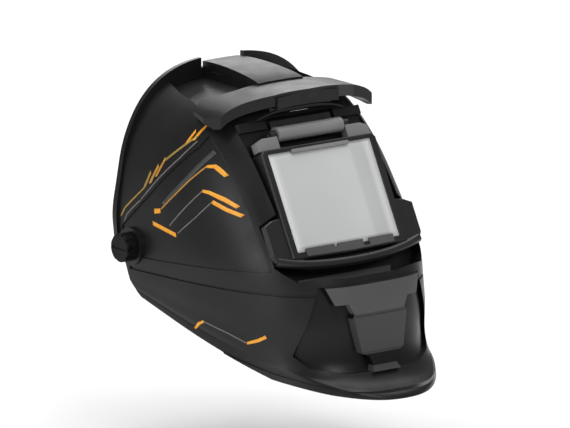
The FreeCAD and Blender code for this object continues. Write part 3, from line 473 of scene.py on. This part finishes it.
# name, points in mm as seen from the side (y, z), widths in mm, material, skew of the two ends
STRIPES = [
    ("bar_low", [(-26, 25), (-56, 19)], (3.6, 3.4), ORANGE, (2.0, -2.0)),
    ("line_low_a", [(-47, 26), (-64, 45), (-80, 62)], (1.1, 1.1), GREY_LINE, (0, 0)),
    ("bar_mid_a", [(-80, 62), (-87, 61.5), (-104, 57), (-117, 52)], (2.6, 3.8, 3.2), ORANGE,
     (0, 2)),
    ("line_low_b", [(-58, 21), (-77, 38), (-92, 54)], (1.1, 1.1), GREY_LINE, (0, 0)),
    ("bar_mid_b", [(-92, 54), (-107, 49), (-123, 45)], (3.4, 3.2), ORANGE, (0, 2)),
    ("spot", [(-27, 36), (-34.5, 37.5)], (4.6, 4.0), ORANGE, (0, 0)),
    ("line_mid", [(-35, 39), (-51, 55), (-65, 70), (-78, 83)], (1.2, 1.4), AMBER, (0, 0)),
    ("bar_top", [(-78, 83), (-86, 84), (-92, 81), (-99, 77)], (2.2, 4.0, 3.4), ORANGE, (0, 2)),
    ("line_pale", [(-37, 44), (-60, 69), (-81, 96)], (3.6, 5.0), FAINT, (0, 0)),
    ("edge_line", [(-34, 83), (-46, 94), (-60, 107)], (1.9, 1.9), OLIVE, (0, 0)),
    ("slash_a", [(-51.5, 99), (-56, 111)], (2.1, 2.1), ORANGE, (2, 2)),
    ("slash_b", [(-57.5, 103), (-64, 118)], (2.4, 2.4), ORANGE, (2, 2)),
    ("slash_c", [(-13, 55), (-19, 70)], (2.3, 2.3), OLIVE, (2, 2)),
    ("slash_d", [(-19.5, 60), (-27, 77)], (2.3, 2.3), AMBER, (2, 2)),
    ("slash_e", [(-26, 67), (-33.5, 84)], (2.1, 2.1), AMBER, (2, 2)),
    ("edge_low_a", [(-13, 55), (0, 43), (10, 33.5), (15, 25)], (1.3, 1.6), OLIVE, (0, 0)),
    ("edge_low_b", [(-9, 43), (0, 35), (7, 28), (10, 21)], (1.2, 1.4), GREY_LINE, (0, 0)),
    # a painted highlight in grey film along the crease's upper edge
    ("crease_highlight", [(-62, 103), (-49, 86.5), (-30, 66.5), (-10, 44)], (1.2, 1.2), GREY_LINE,
     (0, 0)),
    ("chin_bar_a", [(-81, -61.5), (-86, -56.5), (-92, -53.5)], (2.4, 2.8, 2.2), ORANGE, (0, 0)),
    ("chin_line", [(-92, -53.5), (-119, -60), (-139, -66.5)], (1.0, 1.0), GREY_LINE, (0, 0)),
    ("chin_bar_b", [(-139, -66.5), (-150, -62.5), (-157, -58.5)], (2.4, 3.0, 3.0), ORANGE,
     (0, 0)),
]
for side, word in ((-1, "right"), (1, "left")):
    for name, points, widths, material, ends in STRIPES:
        stripe(word + "_" + name, points, widths, side, material, ends)

# ---------------------------------------------------------------- pads on the headgear

RINGS_PER_PANEL, POINTS_ROUND = 13, 28
HEAD_SIDE = -1.0        # the pads' sewn face looks in, against the outward direction
END_PART = 0.035        # part of a pad's length over which each end rounds off
SEAM_LEFT = 0.62        # part of the thickness that stays at a seam
BINDING_RADIUS = 0.55   # mm
BINDING_INSET = 0.2     # mm in from the pad's edge


def pad(name, node_name, body, centre_y, radii, angles, thick, height, panels):
    """A stitched pad bent round part of an oval, crowned and pulled in at its seams, in mm.

    radii are those of its middle line, thick and height its size, panels its sewn panels."""

    def arc(s):
        """The middle line's place and its outward direction, s of the way along."""
        angle = math.radians(angles[0] + (angles[1] - angles[0]) * s)
        place = Vector((radii[0] * math.cos(angle), centre_y + radii[1] * math.sin(angle), 0))
        out = Vector((math.cos(angle) / radii[0], math.sin(angle) / radii[1], 0)).normalized()
        return place, out

    steps_along = RINGS_PER_PANEL * panels
    bm = bmesh.new()
    rings = []
    for i in range(steps_along + 1):
        s = i / steps_along
        middle, out = arc(s)
        end = min(1.0, min(s, 1 - s) / END_PART)
        round_end = math.sqrt(max(0.0, 1 - (1 - end) ** 2))
        phase = abs(math.sin(math.pi * s * panels))
        sewn = SEAM_LEFT + (1 - SEAM_LEFT) * min(1.0, phase * 1.7) ** 0.6
        half_height = height / 2 * (0.86 + 0.14 * round_end) * (0.985 + 0.015 * sewn)
        ring = []
        for k in range(POINTS_ROUND):
            a = 2 * math.pi * k / POINTS_ROUND
            up = math.copysign(abs(math.sin(a)) ** 0.55, math.sin(a))
            side = math.copysign(abs(math.cos(a)) ** 0.8, math.cos(a))
            crown = (1 - abs(up) ** 3.2) * (0.25 + 0.75 * round_end)
            depth = thick / 2 * (0.16 + 0.84 * crown)
            if side * HEAD_SIDE > 0:
                depth *= sewn
            spot = middle + out * side * depth + Vector((0, 0, up * half_height))
            ring.append(bm.verts.new(spot * MM))
        rings.append(ring)
    for r, q in zip(rings, rings[1:]):
        for k in range(POINTS_ROUND):
            j = (k + 1) % POINTS_ROUND
            bm.faces.new((r[k], q[k], q[j], r[j]))
    bm.faces.new(rings[0])
    bm.faces.new(list(reversed(rings[-1])))
    obj = add_object(name, smooth_mesh(name, bm), FOAM)
    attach(obj, body)
    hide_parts(node_name)

    # a thin binding sewn along the top and the low edge, on the head side
    for sign, word in ((1, "top"), (-1, "low")):
        curve = bpy.data.curves.new(name + "_binding_" + word, "CURVE")
        curve.dimensions = "3D"
        curve.bevel_depth = BINDING_RADIUS * MM
        curve.bevel_resolution = 3
        curve.use_fill_caps = True
        rise = Vector((0, 0, sign * (height / 2 - BINDING_INSET)))
        points = []
        for i in range(3, steps_along - 2):
            place, out = arc(i / steps_along)
            points.append((place + out * HEAD_SIDE * BINDING_INSET + rise) * MM)
        spline = curve.splines.new("POLY")
        spline.points.add(len(points) - 1)
        for point, spot in zip(spline.points, points):
            point.co = (*spot, 1.0)
        binding = add_object(name + "_binding_" + word, curve, RUBBER)
        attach(binding, body)


pad("brow_pad", "sweatband", "harness", centre_y=0.0, radii=(74.0, 95.0),
    angles=(-152.0, -28.0), thick=6.6, height=33.0, panels=7)
pad("nape_cushion", "nape_pad", "rear_unit", centre_y=46.0, radii=(71.8, 50.4),
    angles=(45.0, 135.0), thick=6.6, height=33.0, panels=5)

# ---------------------------------------------------------------- floor, light and camera

# low enough for the chin to clear it when the shell is tilted down to its worn pose
FLOOR_Z = -0.192
FLOOR_HALF = 6.0
bm = bmesh.new()
bmesh.ops.create_grid(bm, x_segments=1, y_segments=1, size=FLOOR_HALF)
floor_mesh = bpy.data.meshes.new("floor")
bm.to_mesh(floor_mesh)
bm.free()
floor_material, _, bsdf = new_material("floor_pale")
bsdf.inputs["Base Color"].default_value = grey(0.86)
bsdf.inputs["Roughness"].default_value = 0.9
floor = add_object("floor", floor_mesh, floor_material)
floor.location = (0, 0, FLOOR_Z)

world = bpy.data.worlds.new("studio")
bpy.context.scene.world = world
world.use_nodes = True
background = world.node_tree.nodes["Background"]
background.inputs["Color"].default_value = grey(1.0)
background.inputs["Strength"].default_value = 0.30

# name, place, size, power in watts, and the point that it faces
WINDOW = (0, -0.07, 0.03)
LIGHTS = [
    ("overhead", (0.3, 0.4, 2.6), (3.0, 3.0), 82, (0.2, 0.3, 0)),
    ("back", (1.1, 1.9, 0.9), (1.6, 1.0), 11, WINDOW),
    ("front", (-0.5, -2.2, 1.5), (1.2, 0.8), 16, WINDOW),
    ("side", (-2.2, -0.2, 0.5), (0.7, 1.2), 10, WINDOW),
]
for name, at, size, power, target in LIGHTS:
    data = bpy.data.lights.new(name, "AREA")
    data.shape = "RECTANGLE"
    data.size, data.size_y = size
    data.energy = power
    light = bpy.data.objects.new(name, data)
    light.location = at
    light.rotation_euler = (Vector(target) - Vector(at)).to_track_quat("-Z", "Y").to_euler()
    bpy.context.scene.collection.objects.link(light)
bpy.context.scene.view_settings.view_transform = "Standard"

# the photograph's viewing angle, from far off with a long lens
AZIMUTH, ELEVATION, DISTANCE = math.radians(-38.0), math.radians(12.8), 12.0
LOOK_AT = Vector((0.0, -0.0722, 0.0258))
PIXELS_PER_METRE, IMAGE_WIDTH = 1120.0, 570.0
SENSOR_WIDTH = 36.0
back = Vector((math.sin(AZIMUTH) * math.cos(ELEVATION),
               -math.cos(AZIMUTH) * math.cos(ELEVATION), math.sin(ELEVATION)))
camera_data = bpy.data.cameras.new("camera")
camera_data.clip_end = 60.0
camera_data.sensor_width = SENSOR_WIDTH
camera_data.lens = SENSOR_WIDTH * PIXELS_PER_METRE * DISTANCE / IMAGE_WIDTH
camera = bpy.data.objects.new("camera", camera_data)
camera.location = LOOK_AT + back * DISTANCE
camera.rotation_mode = "QUATERNION"
camera.rotation_quaternion = (-back).to_track_quat("-Z", "Y")
bpy.context.scene.collection.objects.link(camera)
bpy.context.scene.camera = camera
